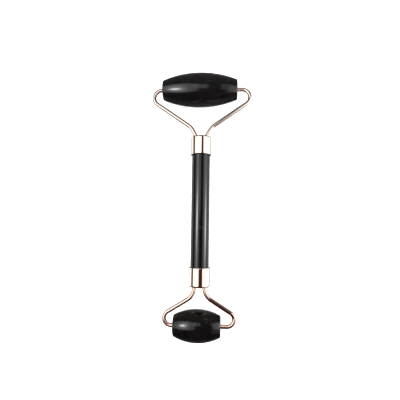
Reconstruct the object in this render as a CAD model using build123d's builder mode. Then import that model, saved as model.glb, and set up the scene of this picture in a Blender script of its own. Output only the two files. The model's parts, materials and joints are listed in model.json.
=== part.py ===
from build123d import *
from math import asin, cos, radians, sin, sqrt, tan
import os

os.makedirs("parts", exist_ok=True)

RIGHT_ANGLE = 90.0

# ---------------------------------------------------------------- driving dimensions, mm and degrees
# handle stone
handle_diameter = 9.7
handle_grip_length = 60.0          # between the two ferrule lips
handle_insert = 4.4                # how far each stone end sits inside its ferrule
handle_end_chamfer = 0.4

# ferrules: one drawn cup on each end of the handle
ferrule_diameter = 11.2
ferrule_length = 10.3
ferrule_end_wall = 1.2
ferrule_glue_gap = 0.05            # radial gap between the stone and the cup
ferrule_end_round = 1.0
ferrule_lip_round = 0.5
ferrule_lip_lead = 0.12            # lead-in chamfer inside the lip
wire_hole_clearance = 0.05         # radial
wire_hole_cut = 2.4                # cutting depth each way from the end face, more than the wall at any lean

# fork wire
wire_diameter = 2.2
wire_tip_chamfer = 0.3
hairpin_fullness = 0.98            # share of the hairpin's floor that is bent; the rest stays straight

large_reach = 26.7                 # ferrule end face to roller axis
large_half_width = 26.5            # handle axis to the wire centre at the return bend
large_return_radius = 4.4
large_arm_angle = 34.7             # arm to roller axis
large_shoulder_radius = 8.0
large_leg_offset = 2.6             # handle axis to each leg at the ferrule's end face
large_leg_lean = 28.4              # legs splay from the handle axis
large_hairpin_reach = 2.75         # end face to the wire centre at the hairpin's floor
large_tip_offset = 11.5            # handle axis to each wire tip inside the roller

small_reach = 20.0
small_half_width = 18.35
small_return_radius = 3.75
small_arm_angle = 31.4
small_shoulder_radius = 7.5
small_leg_offset = 2.75
small_leg_lean = 0.0
small_hairpin_reach = 4.05
small_tip_offset = 5.2

# rollers: barrels turned about the fork stubs
large_roller_length = 41.1
large_roller_diameter = 18.6
large_roller_crown_radius = 56.0   # radius of the barrel's long curve
small_roller_length = 24.7
small_roller_diameter = 16.9
small_roller_crown_radius = 26.3
roller_edge_round = 0.9
roller_bore_diameter = 4.2
roller_bore_lead = 0.3             # countersink at each mouth of the bore
roller_rest_shift = -1.0           # each roller floats along its stubs, and rests off centre

# sleeve bushes in the roller bores
bush_running_clearance = 0.05      # radial, bush to wire
bush_recess = 0.4                  # bush face below the roller's end face
large_bush_length = 9.0
small_bush_length = 6.5
bush_lead = 0.25                   # lead-in chamfer at both mouths of the bush

# ---------------------------------------------------------------- how the roller lies on its two stones
wire_radius = wire_diameter / 2
large_radius = large_roller_diameter / 2
small_radius = small_roller_diameter / 2
axle_distance = (
    large_reach + ferrule_length + handle_grip_length + ferrule_length + small_reach
)
lie_angle = asin((large_radius - small_radius) / axle_distance)   # radians
large_axle_y = (axle_distance - (large_radius - small_radius) / cos(lie_angle)) / 2
small_axle_y = large_axle_y - axle_distance
lie_height = large_radius - large_axle_y * sin(lie_angle)

# local X runs along both roller axes, local Y along the handle, local Z out of the fork plane
lie = Plane(origin=(0, 0, lie_height), x_dir=(1, 0, 0), z_dir=(0, -sin(lie_angle), cos(lie_angle)))

large_face_y = large_axle_y - large_reach          # outer end face of each ferrule
small_face_y = small_axle_y + small_reach
large_lip_y = large_face_y - ferrule_length
small_lip_y = small_face_y + ferrule_length


def along_handle(y, outward=1):
    """Plane across the handle at local y, facing the large roller (1) or the small roller (-1)."""
    return Plane(
        origin=lie.from_local_coords((0, y, 0)),
        x_dir=lie.x_dir,
        z_dir=lie.y_dir * outward,
    )


def fork_plane(face_y, outward):
    """Plane of a fork: its origin in the ferrule's end face, local Y pointing to the roller."""
    return Plane(
        origin=lie.from_local_coords((0, face_y, 0)),
        x_dir=lie.x_dir * outward,
        z_dir=lie.z_dir,
    )


def leg_planes(face_y, outward, leg_offset, leg_lean):
    """Planes across a fork's two legs where they leave the ferrule's end face."""
    face = fork_plane(face_y, outward)
    lean = radians(leg_lean)
    return [
        Plane(
            origin=face.from_local_coords((side * leg_offset, 0, 0)),
            z_dir=face.x_dir * (side * sin(lean)) + face.y_dir * cos(lean),
        )
        for side in (-1, 1)
    ]


def roller_plane(axle_y):
    """Plane through a roller: its origin on the roller's axis at the roller's middle, X along the axis."""
    return Plane(
        origin=lie.from_local_coords((roller_rest_shift, axle_y, 0)),
        x_dir=lie.x_dir,
        z_dir=lie.z_dir,
    )


handle_axis = Axis(lie.origin, lie.y_dir)
large_plane = roller_plane(large_axle_y)
small_plane = roller_plane(small_axle_y)

# ---------------------------------------------------------------- handle stone
with BuildPart() as handle_stone:
    with BuildSketch(along_handle(small_lip_y - handle_insert)):
        Circle(handle_diameter / 2)
    extrude(amount=handle_grip_length + 2 * handle_insert)
    chamfer(handle_stone.edges().filter_by(GeomType.CIRCLE), handle_end_chamfer)

handle_stone.part.label = "handle_stone"
export_step(handle_stone.part, "parts/handle_stone.step")


# ---------------------------------------------------------------- ferrules
def ferrule_profile():
    """Half section of the cup: local X is the radius, local Y runs from the end face into the handle."""
    outer = ferrule_diameter / 2
    bore = handle_diameter / 2 + ferrule_glue_gap
    Polyline(
        (0, 0),
        (outer, 0),
        (outer, -ferrule_length),
        (bore + ferrule_lip_lead, -ferrule_length),
        (bore, -ferrule_length + ferrule_lip_lead),
        (bore, -ferrule_end_wall),
        (0, -ferrule_end_wall),
        close=True,
    )


def outer_corner(sketch, end):
    """Corner of the cup's half section on its outside, at the end face (-1) or at the lip (0)."""
    return sketch.vertices().group_by(Axis.X)[-1].sort_by(Axis.Y)[end]


with BuildPart() as large_ferrule:
    with BuildSketch(fork_plane(large_face_y, 1)) as large_cup:
        with BuildLine():
            ferrule_profile()
        make_face()
        fillet(outer_corner(large_cup, -1), ferrule_end_round)
        fillet(outer_corner(large_cup, 0), ferrule_lip_round)
    revolve(axis=handle_axis)
    with BuildSketch(*leg_planes(large_face_y, 1, large_leg_offset, large_leg_lean)):
        Circle(wire_radius + wire_hole_clearance)
    extrude(amount=wire_hole_cut, both=True, mode=Mode.SUBTRACT)

large_ferrule.part.label = "large_ferrule"
export_step(large_ferrule.part, "parts/large_ferrule.step")

with BuildPart() as small_ferrule:
    with BuildSketch(fork_plane(small_face_y, -1)) as small_cup:
        with BuildLine():
            ferrule_profile()
        make_face()
        fillet(outer_corner(small_cup, -1), ferrule_end_round)
        fillet(outer_corner(small_cup, 0), ferrule_lip_round)
    revolve(axis=handle_axis)
    with BuildSketch(*leg_planes(small_face_y, -1, small_leg_offset, small_leg_lean)):
        Circle(wire_radius + wire_hole_clearance)
    extrude(amount=wire_hole_cut, both=True, mode=Mode.SUBTRACT)

small_ferrule.part.label = "small_ferrule"
export_step(small_ferrule.part, "parts/small_ferrule.step")


# ---------------------------------------------------------------- forks
def wire_path(
    reach,
    half_width,
    return_radius,
    arm_angle,
    shoulder_radius,
    leg_offset,
    leg_lean,
    hairpin_reach,
    tip_offset,
):
    """Centre line of one fork: stub, return bend, arm, shoulder, leg, hairpin, and back the same way."""
    rise, lean = tan(radians(arm_angle)), tan(radians(leg_lean))
    corner_x = half_width - return_radius + return_radius / tan(radians(arm_angle) / 2)
    shoulder_y = (reach - (corner_x - leg_offset) * rise) / (1 - lean * rise)
    shoulder_x = leg_offset + shoulder_y * lean
    hairpin_x = leg_offset - hairpin_reach * lean
    hairpin_radius = hairpin_fullness * hairpin_x / tan(radians(RIGHT_ANGLE - leg_lean) / 2)
    right = [
        (hairpin_x, -hairpin_reach),
        (shoulder_x, shoulder_y),
        (corner_x, reach),
        (tip_offset, reach),
    ]
    left = [(-x, y) for x, y in reversed(right)]
    radii = [return_radius, shoulder_radius, hairpin_radius, hairpin_radius, shoulder_radius, return_radius]
    return FilletPolyline(*left, *right, radius=radii)


with BuildPart() as large_fork:
    with BuildLine(fork_plane(large_face_y, 1)) as large_wire:
        wire_path(
            large_reach,
            large_half_width,
            large_return_radius,
            large_arm_angle,
            large_shoulder_radius,
            large_leg_offset,
            large_leg_lean,
            large_hairpin_reach,
            large_tip_offset,
        )
    with BuildSketch(Plane(origin=large_wire.line @ 0, z_dir=large_wire.line % 0)):
        Circle(wire_radius)
    sweep(transition=Transition.ROUND)
    chamfer(
        large_fork.faces().filter_by(GeomType.PLANE).edges().filter_by(GeomType.CIRCLE),
        wire_tip_chamfer,
    )

large_fork.part.label = "large_fork"
export_step(large_fork.part, "parts/large_fork.step")

with BuildPart() as small_fork:
    with BuildLine(fork_plane(small_face_y, -1)) as small_wire:
        wire_path(
            small_reach,
            small_half_width,
            small_return_radius,
            small_arm_angle,
            small_shoulder_radius,
            small_leg_offset,
            small_leg_lean,
            small_hairpin_reach,
            small_tip_offset,
        )
    with BuildSketch(Plane(origin=small_wire.line @ 0, z_dir=small_wire.line % 0)):
        Circle(wire_radius)
    sweep(transition=Transition.ROUND)
    chamfer(
        small_fork.faces().filter_by(GeomType.PLANE).edges().filter_by(GeomType.CIRCLE),
        wire_tip_chamfer,
    )

small_fork.part.label = "small_fork"
export_step(small_fork.part, "parts/small_fork.step")

# ---------------------------------------------------------------- glue cast round each hairpin
cup_bore_radius = handle_diameter / 2 + ferrule_glue_gap
fill_depth = ferrule_length - handle_insert - ferrule_end_wall

with BuildPart() as large_potting:
    with BuildSketch(along_handle(large_lip_y + handle_insert)):
        Circle(cup_bore_radius)
    extrude(amount=fill_depth)
    add(large_fork.part, mode=Mode.SUBTRACT)

large_potting.part.label = "large_potting"
export_step(large_potting.part, "parts/large_potting.step")

with BuildPart() as small_potting:
    with BuildSketch(along_handle(small_lip_y - handle_insert, -1)):
        Circle(cup_bore_radius)
    extrude(amount=fill_depth)
    add(small_fork.part, mode=Mode.SUBTRACT)

small_potting.part.label = "small_potting"
export_step(small_potting.part, "parts/small_potting.step")


# ---------------------------------------------------------------- roller stones
def barrel_profile(length, diameter, crown_radius):
    """Half section of a barrel: local X along its axis, local Y its radius, from the bore outwards."""
    half = length / 2
    bore = roller_bore_diameter / 2
    end_radius = diameter / 2 - crown_radius + sqrt(crown_radius**2 - half**2)
    ThreePointArc((-half, end_radius), (0, diameter / 2), (half, end_radius))
    Polyline(
        (half, end_radius),
        (half, bore + roller_bore_lead),
        (half - roller_bore_lead, bore),
        (-half + roller_bore_lead, bore),
        (-half, bore + roller_bore_lead),
        (-half, end_radius),
    )


with BuildPart() as large_roller_stone:
    with BuildSketch(large_plane) as large_barrel:
        with BuildLine():
            barrel_profile(large_roller_length, large_roller_diameter, large_roller_crown_radius)
        make_face()
        rims = large_barrel.vertices().group_by(Axis.X)
        fillet([rims[0].sort_by(Axis.Y)[-1], rims[-1].sort_by(Axis.Y)[-1]], roller_edge_round)
    revolve(axis=Axis(large_plane.origin, large_plane.x_dir))

large_roller_stone.part.label = "large_roller_stone"
export_step(large_roller_stone.part, "parts/large_roller_stone.step")

with BuildPart() as small_roller_stone:
    with BuildSketch(small_plane) as small_barrel:
        with BuildLine():
            barrel_profile(small_roller_length, small_roller_diameter, small_roller_crown_radius)
        make_face()
        rims = small_barrel.vertices().group_by(Axis.X)
        fillet([rims[0].sort_by(Axis.Y)[-1], rims[-1].sort_by(Axis.Y)[-1]], roller_edge_round)
    revolve(axis=Axis(small_plane.origin, small_plane.x_dir))

small_roller_stone.part.label = "small_roller_stone"
export_step(small_roller_stone.part, "parts/small_roller_stone.step")


# ---------------------------------------------------------------- sleeve bushes
def bush_face(axle_plane, roller_length, side):
    """Plane at a bush's outer face, facing out of the roller's left (-1) or right (1) end."""
    outer_face = side * (roller_length / 2 - bush_recess)
    return Plane(
        origin=axle_plane.from_local_coords((outer_face, 0, 0)),
        x_dir=axle_plane.y_dir,
        z_dir=axle_plane.x_dir * side,
    )


bush_bore = wire_diameter + 2 * bush_running_clearance

bushes = (
    ("large_bush_left", large_plane, large_roller_length, large_bush_length, -1),
    ("large_bush_right", large_plane, large_roller_length, large_bush_length, 1),
    ("small_bush_left", small_plane, small_roller_length, small_bush_length, -1),
    ("small_bush_right", small_plane, small_roller_length, small_bush_length, 1),
)
for bush_name, axle_plane, roller_length, bush_length, side in bushes:
    with BuildPart() as bush:
        with BuildSketch(bush_face(axle_plane, roller_length, side)):
            Circle(roller_bore_diameter / 2)
            Circle(bush_bore / 2, mode=Mode.SUBTRACT)
        extrude(amount=-bush_length)
        mouths = bush.edges().filter_by(GeomType.CIRCLE).group_by(SortBy.RADIUS)[0]
        chamfer(mouths, bush_lead)

    bush.part.label = bush_name
    export_step(bush.part, f"parts/{bush_name}.step")
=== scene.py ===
import json
from math import atan2, cos, pi, radians, sin, sqrt, tan

import bmesh
import bpy
from mathutils import Matrix, Vector, noise


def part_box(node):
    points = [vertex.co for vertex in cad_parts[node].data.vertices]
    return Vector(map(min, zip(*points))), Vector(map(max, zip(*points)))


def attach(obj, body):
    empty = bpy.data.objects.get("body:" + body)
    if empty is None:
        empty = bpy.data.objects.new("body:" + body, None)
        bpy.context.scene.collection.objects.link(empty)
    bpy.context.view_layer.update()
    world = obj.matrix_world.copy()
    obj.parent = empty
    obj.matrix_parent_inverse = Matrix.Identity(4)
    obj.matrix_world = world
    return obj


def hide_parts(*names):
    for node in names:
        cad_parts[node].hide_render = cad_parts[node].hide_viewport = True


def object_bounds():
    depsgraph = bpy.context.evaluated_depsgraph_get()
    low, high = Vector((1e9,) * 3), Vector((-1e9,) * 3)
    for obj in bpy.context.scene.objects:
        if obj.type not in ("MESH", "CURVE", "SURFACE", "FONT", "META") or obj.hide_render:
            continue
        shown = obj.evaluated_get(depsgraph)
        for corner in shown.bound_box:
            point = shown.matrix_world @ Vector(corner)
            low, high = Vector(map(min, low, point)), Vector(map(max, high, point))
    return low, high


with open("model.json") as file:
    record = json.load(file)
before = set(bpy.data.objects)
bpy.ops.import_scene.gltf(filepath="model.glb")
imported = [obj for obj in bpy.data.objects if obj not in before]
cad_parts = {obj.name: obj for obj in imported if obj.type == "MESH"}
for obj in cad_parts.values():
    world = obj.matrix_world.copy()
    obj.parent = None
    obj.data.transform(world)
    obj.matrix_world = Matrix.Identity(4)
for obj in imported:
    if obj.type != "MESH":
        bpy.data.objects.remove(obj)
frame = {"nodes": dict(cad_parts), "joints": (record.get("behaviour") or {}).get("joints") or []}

CAD_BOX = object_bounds()
MM = 0.001
RIGHT_ANGLE = 90

# ---------------------------------------------------------------- sizes of the pieces, mm and degrees
HANDLE_RADIUS = 4.85
HANDLE_LENGTH = 68.8
HANDLE_END_CHAMFER = 0.4
WIRE_RADIUS = 1.1
WIRE_TIP_CHAMFER = 0.3
BEND_FLATTENING = 0.035            # share of the wire's width that the middle of a bend loses
HAIRPIN_FULLNESS = 0.98
ROLLER_EDGE_ROUND = 0.9
ROLLER_BORE_RADIUS = 2.1
ROLLER_BORE_LEAD = 0.3
ROLLER_REST_SHIFT = -1.0

FORKS = {
    "large": dict(reach=26.7, half_width=26.5, return_radius=4.4, arm_angle=34.7,
                  shoulder_radius=8.0, leg_offset=2.6, leg_lean=28.4, hairpin_reach=2.75, tip_offset=11.5),
    "small": dict(reach=20.0, half_width=18.35, return_radius=3.75, arm_angle=31.4,
                  shoulder_radius=7.5, leg_offset=2.75, leg_lean=0.0, hairpin_reach=4.05, tip_offset=5.2),
}
ROLLERS = {
    "large": dict(length=41.1, radius=9.3, crown=56.0),
    "small": dict(length=24.7, radius=8.45, crown=26.3),
}

# hollows left by hand grinding
ROLLER_HOLLOWS = dict(wave=7.0, depth=0.02)
HANDLE_HOLLOWS = dict(wave=5.0, depth=0.012)
HANDLE_HOLLOW_SQUEEZE = 0.35       # below 1, the hollows are longer along the handle than round it
UNGROUND_WIDTH = 1.5               # ring of end face round the bore that has no hollows

# ---------------------------------------------------------------- mesh fineness
HANDLE_SEGMENTS, HANDLE_RINGS = 192, 240
ROLLER_SEGMENTS = 256
CROWN_RINGS_PER_MM = 3
FACE_RINGS, EDGE_RINGS, BORE_RINGS = 12, 10, 24
WIRE_SEGMENTS = 40
WIRE_STEP = 0.35
FEWEST_BEND_RINGS = 8

# ---------------------------------------------------------------- rose-gold plating
# low, middle and high are the tints over the plating's unevenness, and worn the tint along its fine lines.
# The rim tint is painted light where the surface turns away from the camera: a pale painted sheen on the
# cups, a dark painted shade on the wires; its share is how far it goes there.
CUP_PLATING = dict(
    low=(0.95, 0.76, 0.65), middle=(0.97, 0.80, 0.70), high=(0.94, 0.73, 0.62), worn=(0.89, 0.67, 0.55),
    painted_rim_tone=(1.0, 0.97, 0.94), painted_rim_share=0.9)
# the wires' rim tints are dark: painted shade along their outlines
LARGE_WIRE_PLATING = dict(
    low=(0.95, 0.78, 0.69), middle=(0.97, 0.82, 0.73), high=(0.92, 0.73, 0.62), worn=(0.81, 0.60, 0.49),
    painted_rim_tone=(0.38, 0.29, 0.25), painted_rim_share=0.85)
SMALL_WIRE_PLATING = dict(
    low=(0.95, 0.70, 0.58), middle=(0.97, 0.74, 0.63), high=(0.92, 0.64, 0.50), worn=(0.80, 0.52, 0.40),
    painted_rim_tone=(0.40, 0.22, 0.15), painted_rim_share=0.85)

TURNED_LINES = (60, 9000, 60)      # rings round a cup
DRAWN_LINES = (120, 9000, 9000)    # streaks along a wire
CUP_SMEARS, WIRE_SMEARS = 263, 271

# Painted shade: a dark colour painted on each cup just inside its lip, standing in for the shade and dark
# reflection of the lip where it meets the handle.
PAINTED_LIP_SHADE = (0.10, 0.07, 0.06)
PAINTED_LIP_SHADE_SHARE = 0.85
LIP_SHADE_FULL_TO, LIP_SHADE_GONE_BY = 0.15, 0.42      # mm into the cup from its lip, where the painted shade is full and where it is gone

# ---------------------------------------------------------------- the tool's own axes, from its two joints
AXLES = {j["child"].split("_")[0]: Vector(j["pos_m"]) for j in frame["joints"]}
ALONG = (AXLES["large"] - AXLES["small"]).normalized()
ACROSS = Vector((1, 0, 0))
OUT = ACROSS.cross(ALONG)
HANDLE_MIDDLE = (AXLES["large"] + AXLES["small"]) / 2


def place(origin, x_axis, y_axis, z_axis):
    """Matrix from a piece's own millimetres to the row frame in metres."""
    turn = Matrix((x_axis, y_axis, z_axis)).transposed()
    return Matrix.Translation(origin) @ turn.to_4x4() @ Matrix.Scale(MM, 4)


# ---------------------------------------------------------------- mesh helpers
def finish_piece(name, bm, to_frame, body, node, material):
    """Turns a bmesh into a smooth-shaded piece that stands for a CAD node."""
    bm.transform(to_frame)
    bmesh.ops.recalc_face_normals(bm, faces=bm.faces)
    mesh = bpy.data.meshes.new(name)
    bm.to_mesh(mesh)
    bm.free()
    mesh.shade_smooth()
    piece = bpy.data.objects.new(name, mesh)
    bpy.context.scene.collection.objects.link(piece)
    piece.data.materials.append(material)
    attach(piece, body)
    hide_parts(node)


def arc_points(cx, cy, radius, start, end, count):
    """Points along an arc, ends included."""
    step = (end - start) / count
    angles = [start + i * step for i in range(count + 1)]
    return [(cx + radius * cos(angle), cy + radius * sin(angle)) for angle in angles]


def line_points(a, b, count):
    """Points from a up to, but not including, b."""
    return [(a[0] + (b[0] - a[0]) * i / count, a[1] + (b[1] - a[1]) * i / count) for i in range(count)]


def ground_by_hand(position, axis_angle, radius, wave, depth, seed):
    """Radius after hand grinding: shallow hollows, never proud of the true surface."""
    spot = Vector((position, radius * cos(axis_angle), radius * sin(axis_angle))) / wave
    hollow = 0.5 + 0.5 * noise.noise(spot + Vector((seed, seed * 0.37, seed * 1.91)))
    return radius - depth * max(0.0, min(1.0, hollow))


def skin(bm, rings, closed):
    """Quads from each ring to the next. The last ring joins the first, or else both are capped."""
    pairs = list(zip(rings, rings[1:]))
    if closed:
        pairs.append((rings[-1], rings[0]))
    for low, high in pairs:
        for k in range(len(low)):
            n = (k + 1) % len(low)
            bm.faces.new((low[k], low[n], high[n], high[k]))
    if not closed:
        bm.faces.new(rings[0])
        bm.faces.new(rings[-1])


def turned(profile, segments, closed, shape_radius):
    """Lathe about local X. profile holds (x, radius) points, and shape_radius gives the radius to use at
    (index, x, radius, angle)."""
    bm = bmesh.new()
    rings = []
    for index, (x, radius) in enumerate(profile):
        ring = []
        for k in range(segments):
            angle = 2 * pi * k / segments
            r = shape_radius(index, x, radius, angle)
            ring.append(bm.verts.new((x, r * cos(angle), r * sin(angle))))
        rings.append(ring)
    skin(bm, rings, closed)
    return bm


# ---------------------------------------------------------------- node helpers
def new_material(name):
    """Material, with its node tree and its Principled shader."""
    material = bpy.data.materials.new(name)
    material.use_nodes = True
    tree = material.node_tree
    return material, tree, tree.nodes["Principled BSDF"]


def add(tree, kind, inputs=None, **settings):
    """Adds a node, sets its properties, and sets or links its inputs."""
    node = tree.nodes.new(kind)
    for key, value in settings.items():
        setattr(node, key, value)
    for key, value in (inputs or {}).items():
        if isinstance(value, bpy.types.NodeSocket):
            tree.links.new(value, node.inputs[key])
        else:
            node.inputs[key].default_value = value
    return node


def object_coords(tree):
    """The object's own coordinates, in metres."""
    return add(tree, "ShaderNodeTexCoord").outputs["Object"]


def unbent_coords(tree):
    """Coordinates along, across and through a fork's wire, as if it were straight."""
    return add(tree, "ShaderNodeAttribute", attribute_name="unbent").outputs["Vector"]


def stretched(tree, coords, scale, rotation=(0, 0, 0)):
    """Coordinates turned and scaled along each axis."""
    node = add(tree, "ShaderNodeMapping", {"Vector": coords, "Scale": scale, "Rotation": rotation})
    return node.outputs[0]


def noise_value(tree, coords, scale, detail=4.0, roughness=0.5, distortion=0.0):
    """Fractal noise from 0 to 1."""
    node = add(tree, "ShaderNodeTexNoise", {
        "Vector": coords, "Scale": scale, "Detail": detail, "Roughness": roughness, "Distortion": distortion,
    })
    return node.outputs["Fac"]


def dot_distance(tree, coords, scale):
    """Distance to the nearest of many scattered dots."""
    return add(tree, "ShaderNodeTexVoronoi", {"Vector": coords, "Scale": scale}).outputs["Distance"]


def ramp(tree, value, stops):
    """Colour ramp; stops are (position, grey or colour)."""
    node = add(tree, "ShaderNodeValToRGB", {"Fac": value})
    elements = node.color_ramp.elements
    while len(elements) < len(stops):
        elements.new(0.5)
    for element, (position, colour) in zip(elements, stops):
        element.position = position
        element.color = (*colour, 1) if isinstance(colour, tuple) else (colour, colour, colour, 1)
    return node.outputs["Color"]


def remap(tree, value, before, after):
    """Value moved from the range before to the range after, and held at its ends."""
    node = add(tree, "ShaderNodeMapRange", {
        "Value": value, "From Min": before[0], "From Max": before[1], "To Min": after[0], "To Max": after[1],
    })
    return node.outputs["Result"]


def soft_step(tree, value, edge, width):
    """0 below edge and 1 above it, blurred over width to either side."""
    inputs = {"Value": value, "From Min": edge - width, "From Max": edge + width}
    return add(tree, "ShaderNodeMapRange", inputs, interpolation_type="SMOOTHSTEP").outputs["Result"]


def mixed(tree, factor, first, second):
    """Mix of two colours, each given as a colour or a socket."""
    node = add(tree, "ShaderNodeMix", data_type="RGBA")
    for index, value in ((0, factor), (6, first), (7, second)):
        if isinstance(value, bpy.types.NodeSocket):
            tree.links.new(value, node.inputs[index])
        else:
            node.inputs[index].default_value = value if index == 0 else (*value, 1)
    return node.outputs[2]


def calc(tree, operation, first, second=0.0):
    """Result of a maths node; an operation on one value leaves out the second."""
    return add(tree, "ShaderNodeMath", {0: first, 1: second}, operation=operation).outputs[0]


def bell(tree, value, middle, spread):
    """exp(-((value - middle) / spread)^2 / 2)"""
    offset = calc(tree, "DIVIDE", calc(tree, "SUBTRACT", value, middle), spread * sqrt(2))
    return calc(tree, "EXPONENT", calc(tree, "MULTIPLY", calc(tree, "MULTIPLY", offset, offset), -1.0))


def bumped(tree, height, distance, strength, normal=None):
    """Normal bent by a height, on top of another normal if one is given."""
    inputs = {"Height": height, "Distance": distance, "Strength": strength}
    if normal is not None:
        inputs["Normal"] = normal
    return add(tree, "ShaderNodeBump", inputs).outputs["Normal"]


# ---------------------------------------------------------------- materials
def agate_colour(tree, spot, paleness):
    """Near-black body with faint smoky clouds, hair veins and specks."""
    clouds = noise_value(tree, spot, scale=95, detail=6, roughness=0.6, distortion=0.8)
    tones = (0.35, 0.0010, 0.0010, 0.0012), (0.62, 0.0018, 0.0018, 0.0018), (0.80, 0.0060, 0.0058, 0.0050)
    body = ramp(tree, clouds, [(at, (r * paleness, g * paleness, b * paleness)) for at, r, g, b in tones])
    vein_coords = stretched(tree, spot, (0.5, 1.0, 1.4))
    veins = noise_value(tree, vein_coords, scale=60, detail=5, roughness=0.55, distortion=1.6)
    hair = ramp(tree, veins, [(0.488, 0.0), (0.500, 1.0), (0.512, 0.0)])
    veined = mixed(tree, calc(tree, "MULTIPLY", hair, 0.16), body, (0.022, 0.021, 0.019))
    speck = ramp(tree, dot_distance(tree, spot, 900.0), [(0.05, 1.0), (0.11, 0.0)])
    return mixed(tree, calc(tree, "MULTIPLY", speck, 0.35), veined, (0.035, 0.028, 0.018))


def agate_roughness(tree, spot):
    """Polish with soft handling haze and fine scratches."""
    haze = noise_value(tree, spot, scale=160, detail=5, roughness=0.62, distortion=0.4)
    scratch_coords = stretched(tree, spot, (60, 2500, 2500), (0.4, 0.3, 0.2))
    scratch = ramp(tree, noise_value(tree, scratch_coords, scale=1, detail=2), [(0.64, 0.0), (0.72, 1.0)])
    gloss = remap(tree, haze, (0.3, 0.75), (0.020, 0.055))
    return calc(tree, "ADD", gloss, calc(tree, "MULTIPLY", scratch, 0.05))


def polished_stone(name, seed, paleness):
    """Black agate. paleness scales the body colour of one stone against the next."""
    material, tree, shader = new_material(name)
    spot = stretched(tree, object_coords(tree), (1, 1, 1), (seed, seed * 0.7, seed * 1.3))
    tree.links.new(agate_colour(tree, spot, paleness), shader.inputs["Base Color"])
    tree.links.new(agate_roughness(tree, spot), shader.inputs["Roughness"])
    pits = ramp(tree, dot_distance(tree, spot, 650.0), [(0.04, 0.0), (0.10, 1.0)])
    grain = bumped(tree, noise_value(tree, spot, scale=1400, detail=3), distance=0.000002, strength=0.25)
    pitted = bumped(tree, pits, distance=0.000006, strength=0.35, normal=grain)
    tree.links.new(pitted, shader.inputs["Normal"])
    shader.inputs["IOR"].default_value = 1.36
    return material


def rose_gold(name, coords_of, line_scale, smear_scale, low, middle, high, worn, painted_rim_tone, painted_rim_share):
    """Polished rose-gold plate: warm base, uneven plating, fine drawing or turning lines, light wear, and a
    painted rim tint where the surface turns away from the camera: painted sheen when the tint is pale,
    painted shade when it is dark.
    """
    material, tree, shader = new_material(name)
    coords = coords_of(tree)
    plating = noise_value(tree, coords, scale=140, roughness=0.55, distortion=0.3)
    tone = ramp(tree, plating, [(0.30, low), (0.55, middle), (0.78, high)])
    lines = noise_value(tree, stretched(tree, coords, line_scale), scale=1, detail=3, roughness=0.6)
    wear = ramp(tree, lines, [(0.40, 0.0), (0.70, 1.0)])
    plate = mixed(tree, calc(tree, "MULTIPLY", wear, 0.22), tone, worn)
    # painted light: the rim tint is mixed in where the surface turns away from the camera
    turned_away = add(tree, "ShaderNodeLayerWeight", {"Blend": 0.5}).outputs["Facing"]
    painted_rim_mask = remap(tree, turned_away, (0.20, 0.45), (0.0, painted_rim_share))
    tree.links.new(mixed(tree, painted_rim_mask, plate, painted_rim_tone), shader.inputs["Base Color"])
    smear = noise_value(tree, coords, scale=smear_scale, roughness=0.6)
    gloss = remap(tree, smear, (0.3, 0.75), (0.03, 0.08))
    tree.links.new(calc(tree, "ADD", gloss, calc(tree, "MULTIPLY", wear, 0.05)), shader.inputs["Roughness"])
    tree.links.new(bumped(tree, lines, distance=0.000004, strength=0.30), shader.inputs["Normal"])
    shader.inputs["Metallic"].default_value = 1.0
    return material


def paint_shade_on_lips(material):
    """Paints shade on the last fraction of a millimetre of each cup, where it meets the handle: a dark band
    standing in for the shade and dark reflection of the lip.
    """
    tree = material.node_tree
    shader = tree.nodes["Principled BSDF"]
    plate = shader.inputs["Base Color"].links[0].from_socket
    large_lip, small_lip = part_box("large_ferrule")[0].y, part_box("small_ferrule")[1].y
    along = add(tree, "ShaderNodeSeparateXYZ", {0: object_coords(tree)}).outputs[1]
    off_middle = calc(tree, "ABSOLUTE", calc(tree, "SUBTRACT", along, (large_lip + small_lip) / 2))
    lip = (large_lip - small_lip) / 2
    near_lip = (lip + LIP_SHADE_FULL_TO * MM, lip + LIP_SHADE_GONE_BY * MM)
    share = remap(tree, off_middle, near_lip, (PAINTED_LIP_SHADE_SHARE, 0.0))
    tree.links.new(mixed(tree, share, plate, PAINTED_LIP_SHADE), shader.inputs["Base Color"])


def moulded_nylon():
    """Satin black plastic with faint flow marks and a fine grain."""
    material, tree, shader = new_material("moulded_nylon")
    coords = object_coords(tree)
    flow = noise_value(tree, coords, scale=500, roughness=0.6)
    body = ramp(tree, flow, [(0.3, (0.018, 0.018, 0.019)), (0.7, (0.040, 0.040, 0.041))])
    grain = noise_value(tree, coords, scale=3500, detail=2)
    tree.links.new(body, shader.inputs["Base Color"])
    tree.links.new(remap(tree, flow, (0.3, 0.7), (0.42, 0.58)), shader.inputs["Roughness"])
    tree.links.new(bumped(tree, grain, distance=0.00001, strength=0.4), shader.inputs["Normal"])
    return material


def cast_epoxy():
    """Amber glue with the swirls of its pouring."""
    material, tree, shader = new_material("cast_epoxy")
    swirl = noise_value(tree, object_coords(tree), scale=300, roughness=0.6, distortion=1.2)
    body = ramp(tree, swirl, [(0.3, (0.42, 0.36, 0.25)), (0.7, (0.60, 0.54, 0.42))])
    tree.links.new(body, shader.inputs["Base Color"])
    tree.links.new(remap(tree, swirl, (0.3, 0.7), (0.18, 0.32)), shader.inputs["Roughness"])
    tree.links.new(bumped(tree, swirl, distance=0.00005, strength=0.3), shader.inputs["Normal"])
    return material


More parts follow.
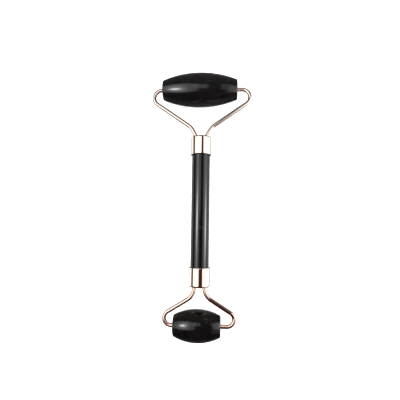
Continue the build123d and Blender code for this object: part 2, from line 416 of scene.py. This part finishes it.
# ---------------------------------------------------------------- stones
def barrel_profile(length, radius, crown):
    """Closed half section of a roller, in two parts: left end face, crown and right end face, then the way
    back through the bore."""
    half, edge = length / 2, ROLLER_EDGE_ROUND
    crown_y = radius - crown
    edge_y = crown_y + sqrt((crown - edge) ** 2 - (half - edge) ** 2)
    tangent = atan2(edge_y - crown_y, half - edge)
    mouth = ROLLER_BORE_RADIUS + ROLLER_BORE_LEAD
    outer = line_points((-half, mouth), (-half, edge_y), FACE_RINGS)
    outer += arc_points(-half + edge, edge_y, edge, pi, pi - tangent, EDGE_RINGS)[:-1]
    outer += arc_points(0, crown_y, crown, pi - tangent, tangent, int(length * CROWN_RINGS_PER_MM))
    outer += arc_points(half - edge, edge_y, edge, tangent, 0, EDGE_RINGS)[1:]
    outer += line_points((half, edge_y), (half, mouth), FACE_RINGS)[1:]
    right = (half - ROLLER_BORE_LEAD, ROLLER_BORE_RADIUS)
    left = (-half + ROLLER_BORE_LEAD, ROLLER_BORE_RADIUS)
    bore = [(half, mouth)] + line_points(right, left, BORE_RINGS) + [left]
    return outer, bore


def roller_stone(end, seed, material):
    """Barrel of one roller, ground by hand outside and true in its bore."""
    outer, bore = barrel_profile(**ROLLERS[end])

    def radius_at(index, x, radius, angle):
        if index >= len(outer) or radius < ROLLER_BORE_RADIUS + UNGROUND_WIDTH:
            return radius
        return ground_by_hand(x, angle, radius, seed=seed, **ROLLER_HOLLOWS)

    bm = turned(outer + bore, ROLLER_SEGMENTS, True, radius_at)
    origin = AXLES[end] + ACROSS * (ROLLER_REST_SHIFT * MM)
    finish_piece(f"{end}_roller_barrel", bm, place(origin, ACROSS, ALONG, OUT),
                 f"{end}_roller", f"{end}_roller_stone", material)


def handle_stone(material):
    """Handle rod, ground by hand, with chamfered ends."""
    low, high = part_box("handle_stone")
    middle = AXLES["small"] + ALONG * ALONG.dot((low + high) / 2 - AXLES["small"])
    half, edge = HANDLE_LENGTH / 2, HANDLE_END_CHAMFER
    inner = HANDLE_RADIUS - edge
    profile = [(-half, inner)]
    profile += line_points((-half + edge, HANDLE_RADIUS), (half - edge, HANDLE_RADIUS), HANDLE_RINGS)
    profile += [(half - edge, HANDLE_RADIUS), (half, inner)]

    def radius_at(index, x, radius, angle):
        return ground_by_hand(x * HANDLE_HOLLOW_SQUEEZE, angle, radius, seed=5.0, **HANDLE_HOLLOWS)

    bm = turned(profile, HANDLE_SEGMENTS, False, radius_at)
    finish_piece("handle_rod", bm, place(middle, ALONG, -ACROSS, OUT),
                 "frame", "handle_stone", material)


# ---------------------------------------------------------------- forks
def rounded_path(corners, radii, step):
    """Points along straight runs joined by tangent arcs, with the arc's share of bending at each point."""
    points = []
    here = corners[0]
    for before, corner, after, radius in zip(corners, corners[1:], corners[2:], radii):
        a, b = (corner - before).normalized(), (after - corner).normalized()
        turn = a.angle(b)
        setback = radius * tan(turn / 2)
        start, end = corner - a * setback, corner + b * setback
        run = max(1, round((start - here).length / step))
        points += [(here.lerp(start, i / run), 0.0) for i in range(run)]
        side = 1 if a.x * b.y - a.y * b.x > 0 else -1
        centre = start + Vector((-a.y, a.x)) * side * radius
        count = max(FEWEST_BEND_RINGS, round(radius * turn / step))
        from_centre = start - centre
        for i in range(count):
            angle = side * turn * i / count
            spoke = Vector((from_centre.x * cos(angle) - from_centre.y * sin(angle),
                            from_centre.x * sin(angle) + from_centre.y * cos(angle)))
            points.append((centre + spoke, sin(pi * i / count) ** 0.5))
        here = end
    run = max(1, round((corners[-1] - here).length / step))
    points += [(here.lerp(corners[-1], i / run), 0.0) for i in range(run + 1)]
    return points


def wire_points(reach, half_width, return_radius, arm_angle, shoulder_radius,
                leg_offset, leg_lean, hairpin_reach, tip_offset):
    """Centre line of a fork in its own plane: x across it, y from the ferrule's end face to the axle."""
    rise, lean = tan(radians(arm_angle)), tan(radians(leg_lean))
    corner_x = half_width - return_radius + return_radius / tan(radians(arm_angle) / 2)
    shoulder_y = (reach - (corner_x - leg_offset) * rise) / (1 - lean * rise)
    hairpin_x = leg_offset - hairpin_reach * lean
    right = [(hairpin_x, -hairpin_reach), (leg_offset + shoulder_y * lean, shoulder_y),
             (corner_x, reach), (tip_offset, reach)]
    corners = [Vector((-x, y)) for x, y in reversed(right)] + [Vector(p) for p in right]
    hairpin = HAIRPIN_FULLNESS * hairpin_x / tan(radians(RIGHT_ANGLE - leg_lean) / 2)
    half_radii = (return_radius, shoulder_radius, hairpin)
    return rounded_path(corners, half_radii + half_radii[::-1], WIRE_STEP)


def wire_mesh(path):
    """Wire along a path, its section slightly flattened in the bends and its tips bevelled.
    Each vertex keeps its unbent coordinates for the material."""
    bm = bmesh.new()
    unbent = bm.verts.layers.float_vector.new("unbent")
    rings, travelled = [], 0.0
    last = len(path) - 1
    for i, (point, bend) in enumerate(path):
        tangent = (path[min(i + 1, last)][0] - path[max(i - 1, 0)][0]).normalized()
        side = Vector((-tangent.y, tangent.x))
        if i:
            travelled += (point - path[i - 1][0]).length
        ring = []
        radius = WIRE_RADIUS - WIRE_TIP_CHAMFER if i in (0, last) else WIRE_RADIUS
        for k in range(WIRE_SEGMENTS):
            angle = 2 * pi * k / WIRE_SEGMENTS
            across = radius * (1 - BEND_FLATTENING * bend) * cos(angle)
            up = radius * sin(angle)
            vert = bm.verts.new((point.x + side.x * across, point.y + side.y * across, up))
            vert[unbent] = (travelled * MM, across * MM, up * MM)
            ring.append(vert)
        rings.append(ring)
    skin(bm, rings, closed=False)
    return bm


def fork_wire(end, outward, plating):
    """Bent wire of one fork. outward is 1 where the fork points along the handle, and -1 against it."""
    material = rose_gold(f"rose_gold_{end}_wire", unbent_coords, DRAWN_LINES, WIRE_SMEARS, **plating)
    bm = wire_mesh(wire_points(**FORKS[end]))
    origin = AXLES[end] - ALONG * (outward * FORKS[end]["reach"] * MM)
    finish_piece(f"{end}_fork_wire", bm, place(origin, ACROSS * outward, ALONG * outward, OUT),
                 "frame", f"{end}_fork", material)


# ---------------------------------------------------------------- studio
FLOOR_RADIUS = 3.0
FLOOR_GAP = 0.00002                # metres below the tool
FLOOR_GLOW = 0.35                  # keeps the tool's shadow faint
FILL_ANGLE = 140
FILL_ENERGY = 5.0
WINDOW_LEVEL = 0.50


def emitter(name, see_through=False):
    """Glowing material, opaque or see-through; returns it with its tree and its emission node."""
    material = bpy.data.materials.new(name)
    material.use_nodes = True
    tree = material.node_tree
    tree.nodes.clear()
    glow = add(tree, "ShaderNodeEmission")
    surface = glow
    if see_through:
        clear = add(tree, "ShaderNodeBsdfTransparent")
        surface = add(tree, "ShaderNodeAddShader", {0: glow.outputs[0], 1: clear.outputs[0]})
    out = add(tree, "ShaderNodeOutputMaterial")
    tree.links.new(surface.outputs[0], out.inputs["Surface"])
    return material, tree, glow


def hide_from(thing, *kinds):
    """Hides an object from the named kinds of ray."""
    for kind in kinds:
        setattr(thing, f"visible_{kind}", False)


def floor_material():
    """Pale matt floor that glows a little of its own."""
    material, tree, shader = new_material("studio_floor")
    grain = noise_value(tree, object_coords(tree), scale=40)
    tree.links.new(ramp(tree, grain, [(0.3, 0.88), (0.7, 0.91)]), shader.inputs["Base Color"])
    shader.inputs["Roughness"].default_value = 0.9
    shader.inputs["Specular IOR Level"].default_value = 0.0
    shader.inputs["Emission Color"].default_value = (1.0, 1.0, 1.0, 1.0)
    shader.inputs["Emission Strength"].default_value = FLOOR_GLOW
    return material


def floor_and_backdrop():
    """Pale floor, and a pale dome round it that only the camera sees."""
    bpy.ops.mesh.primitive_circle_add(vertices=96, radius=FLOOR_RADIUS, fill_type="NGON",
                                      location=(0, 0, CAD_BOX[0].z - FLOOR_GAP))
    floor = bpy.context.object
    floor.name = "floor"
    floor.data.materials.append(floor_material())
    hide_from(floor, "glossy")
    bpy.ops.mesh.primitive_uv_sphere_add(segments=64, ring_count=32, radius=FLOOR_RADIUS)
    dome = bpy.context.object
    dome.name = "backdrop"
    pale, _, glow = emitter("backdrop_glow")
    glow.inputs["Strength"].default_value = 1.0
    dome.data.materials.append(pale)
    hide_from(dome, "diffuse", "glossy", "transmission", "volume_scatter", "shadow")


def bright_spot(tree, u, v, peak, at, spread):
    """Brighter spot on a softbox, with its middle and its spread along u and v in mm."""
    shape = calc(tree, "MULTIPLY", bell(tree, u, at[0] * MM, spread[0] * MM),
                 bell(tree, v, at[1] * MM, spread[1] * MM))
    return calc(tree, "MULTIPLY", shape, peak)


def panel_level(tree, box, edge, level, spots):
    """Brightness over a softbox: level inside a soft border, and the spots added to it."""
    u, v, _ = add(tree, "ShaderNodeSeparateXYZ", {0: object_coords(tree)}).outputs
    total = level
    for value, low, high in ((u, box[0], box[1]), (v, box[2], box[3])):
        total = calc(tree, "MULTIPLY", total, soft_step(tree, value, low * MM, edge * MM))
        beyond = soft_step(tree, value, high * MM, edge * MM)
        total = calc(tree, "MULTIPLY", total, calc(tree, "SUBTRACT", 1.0, beyond))
    for spot in spots:
        total = calc(tree, "ADD", total, bright_spot(tree, u, v, **spot))
    return total


def softbox(name, angle, distance, box, edge, level, spots=()):
    """Soft panel facing the handle at an angle from straight up, towards +X.
    box is (low u, high u, low v, high v) in mm about its middle: u runs with the angle, v along the handle.
    edge is half the width of its soft border."""
    material, tree, glow = emitter(name, see_through=True)
    tree.links.new(panel_level(tree, box, edge, level, spots), glow.inputs["Strength"])
    turn = radians(angle)
    mesh = bpy.data.meshes.new(name)
    u0, u1, v0, v1 = (x * MM for x in (box[0] - edge, box[1] + edge, box[2] - edge, box[3] + edge))
    mesh.from_pydata([(u0, v0, 0), (u0, v1, 0), (u1, v1, 0), (u1, v0, 0)], [], [(0, 1, 2, 3)])
    mesh.materials.append(material)
    card = bpy.data.objects.new(name, mesh)
    card.location = HANDLE_MIDDLE + Vector((sin(turn), 0, cos(turn))) * distance * MM
    card.rotation_euler = (0, turn, 0)
    bpy.context.scene.collection.objects.link(card)
    hide_from(card, "camera", "shadow")


def table_level(tree, x, y, z):
    """Brightness of the table in reflections: high to both sides of the handle, low beyond its ends."""
    squares = calc(tree, "ADD", calc(tree, "MULTIPLY", x, x), calc(tree, "MULTIPLY", y, y))
    level = calc(tree, "SQRT", squares)
    sideways = calc(tree, "POWER", calc(tree, "DIVIDE", calc(tree, "ABSOLUTE", x), level), 8.0)
    endways = calc(tree, "POWER", calc(tree, "DIVIDE", calc(tree, "ABSOLUTE", y), level), 4.0)
    sides = calc(tree, "MULTIPLY", sideways, remap(tree, z, (-0.90, -0.62), (0.30, 1.25)))
    close_by = remap(tree, z, (-0.25, -0.60), (0.0, 0.16))
    ends = calc(tree, "ADD", remap(tree, y, (-0.30, 0.30), (0.07, 0.26)), close_by)
    beyond_ends = calc(tree, "MULTIPLY", ends, remap(tree, endways, (0.4, 0.9), (0.35, 1.0)))
    return calc(tree, "ADD", sides, beyond_ends)


def window_shape(tree, x, y):
    """1 inside a soft window to the right, on the small end's side, and 0 outside it."""
    band = calc(tree, "SUBTRACT", soft_step(tree, y, -0.68, 0.06), soft_step(tree, y, -0.36, 0.06))
    return calc(tree, "MULTIPLY", band, soft_step(tree, x, 0.48, 0.08))


def surroundings():
    """World: the table below, and above it a dim room with a window. The room is brown towards the small end
    and lighter towards the large end."""
    world = bpy.data.worlds.new("studio")
    bpy.context.scene.world = world
    world.use_nodes = True
    tree = world.node_tree
    split = add(tree, "ShaderNodeSeparateXYZ", {0: add(tree, "ShaderNodeTexCoord").outputs["Generated"]})
    x, y, z = split.outputs
    large_end = remap(tree, y, (0.25, 0.95), (0.0, 0.24))
    room = calc(tree, "ADD", remap(tree, y, (-0.15, 0.25), (0.050, 0.025)), large_end)
    window = window_shape(tree, x, y)
    room = calc(tree, "ADD", room, calc(tree, "MULTIPLY", window, WINDOW_LEVEL))
    above = soft_step(tree, z, -0.06, 0.05)
    levels = {0: above, 2: table_level(tree, x, y, z), 3: room}
    strength = add(tree, "ShaderNodeMix", levels, data_type="FLOAT").outputs[0]
    warm = ramp(tree, remap(tree, y, (-0.25, 0.35), (0.0, 1.0)),
                [(0.0, (1.0, 0.28, 0.11)), (0.50, (1.0, 0.46, 0.30)), (1.0, (1.0, 0.80, 0.72))])
    room_hue = mixed(tree, window, warm, (1.0, 0.98, 0.92))
    hue = mixed(tree, above, (1.0, 0.97, 0.95), room_hue)
    tree.links.new(strength, tree.nodes["Background"].inputs["Strength"])
    tree.links.new(hue, tree.nodes["Background"].inputs["Color"])


def lights():
    """Panels for the reflections, a wide fill, and the surroundings."""
    softbox("left_softbox", angle=-35, distance=350, box=(-225, 190, -150, 210), edge=45, level=1.7,
            spots=(dict(peak=5.0, at=(0, 15), spread=(60, 105)),
                   dict(peak=25.0, at=(-10, 4), spread=(30, 27))))
    softbox("right_softbox", angle=74, distance=350, box=(-265, 100, -170, 190), edge=60, level=1.7,
            spots=(dict(peak=3.0, at=(0, 10), spread=(120, 110)),
                   dict(peak=22.0, at=(5, -9), spread=(33, 34))))
    softbox("top_card", angle=-1.5, distance=291, box=(-50, 48, 6, 140), edge=14, level=1.5)
    softbox("large_end_card", angle=35, distance=75, box=(-9, 14, 42, 90), edge=3, level=1.0)
    fill = bpy.data.lights.new("overhead_fill", "SUN")
    fill.angle = radians(FILL_ANGLE)
    fill.energy = FILL_ENERGY
    lamp = bpy.data.objects.new("overhead_fill", fill)
    lamp.location = (0, 0, 1)
    hide_from(lamp, "glossy", "camera")
    bpy.context.scene.collection.objects.link(lamp)
    surroundings()


# ---------------------------------------------------------------- camera
LENS = 30.6
SENSOR = 36.0
CAMERA_AIM = Vector((-0.248, 1.942, 8.6)) * MM
CAMERA_PLACE = Vector((12.164, -15.989, 190.967)) * MM
CAMERA_ROLL = radians(0.837)
NEAR_CLIP, FAR_CLIP = 0.01, 20.0
BRIGHTEST_SAMPLE = 1.15


def camera():
    """Camera close above the tool, aimed near its middle and slightly rolled."""
    data = bpy.data.cameras.new("camera")
    data.lens, data.sensor_width = LENS, SENSOR
    data.clip_start, data.clip_end = NEAR_CLIP, FAR_CLIP
    eye = bpy.data.objects.new("camera", data)
    ahead = (CAMERA_AIM - CAMERA_PLACE).normalized()
    right = ahead.cross(Vector((0, 1, 0))).normalized()
    up = right.cross(ahead)
    rolled_right = right * cos(CAMERA_ROLL) + up * sin(CAMERA_ROLL)
    rolled_up = up * cos(CAMERA_ROLL) - right * sin(CAMERA_ROLL)
    turn = Matrix((rolled_right, rolled_up, -ahead)).transposed().to_4x4()
    eye.matrix_world = Matrix.Translation(CAMERA_PLACE) @ turn
    bpy.context.scene.collection.objects.link(eye)
    bpy.context.scene.camera = eye
    bpy.context.scene.view_settings.view_transform = "Standard"
    # a highlight brighter than film white spreads no further than its own edge
    bpy.context.scene.cycles.sample_clamp_direct = BRIGHTEST_SAMPLE


# ---------------------------------------------------------------- build
def dress_cad_nodes():
    """Finishes for the CAD nodes that stay."""
    cup = rose_gold("rose_gold_cup", object_coords, TURNED_LINES, CUP_SMEARS, **CUP_PLATING)
    # paints shade round the lips of the cups
    paint_shade_on_lips(cup)
    finishes = {"ferrule": cup, "bush": moulded_nylon(), "potting": cast_epoxy()}
    for name, node in frame["nodes"].items():
        for kind, material in finishes.items():
            if kind in name:
                node.data.materials.clear()
                node.data.materials.append(material)


def main():
    roller_stone("large", 1.0, polished_stone("large_roller_agate", seed=0.3, paleness=1.7))
    roller_stone("small", 2.0, polished_stone("small_roller_agate", seed=1.7, paleness=1.2))
    handle_stone(polished_stone("handle_agate", seed=2.9, paleness=1.2))
    fork_wire("large", 1, LARGE_WIRE_PLATING)
    fork_wire("small", -1, SMALL_WIRE_PLATING)
    dress_cad_nodes()
    floor_and_backdrop()
    lights()
    camera()


main()
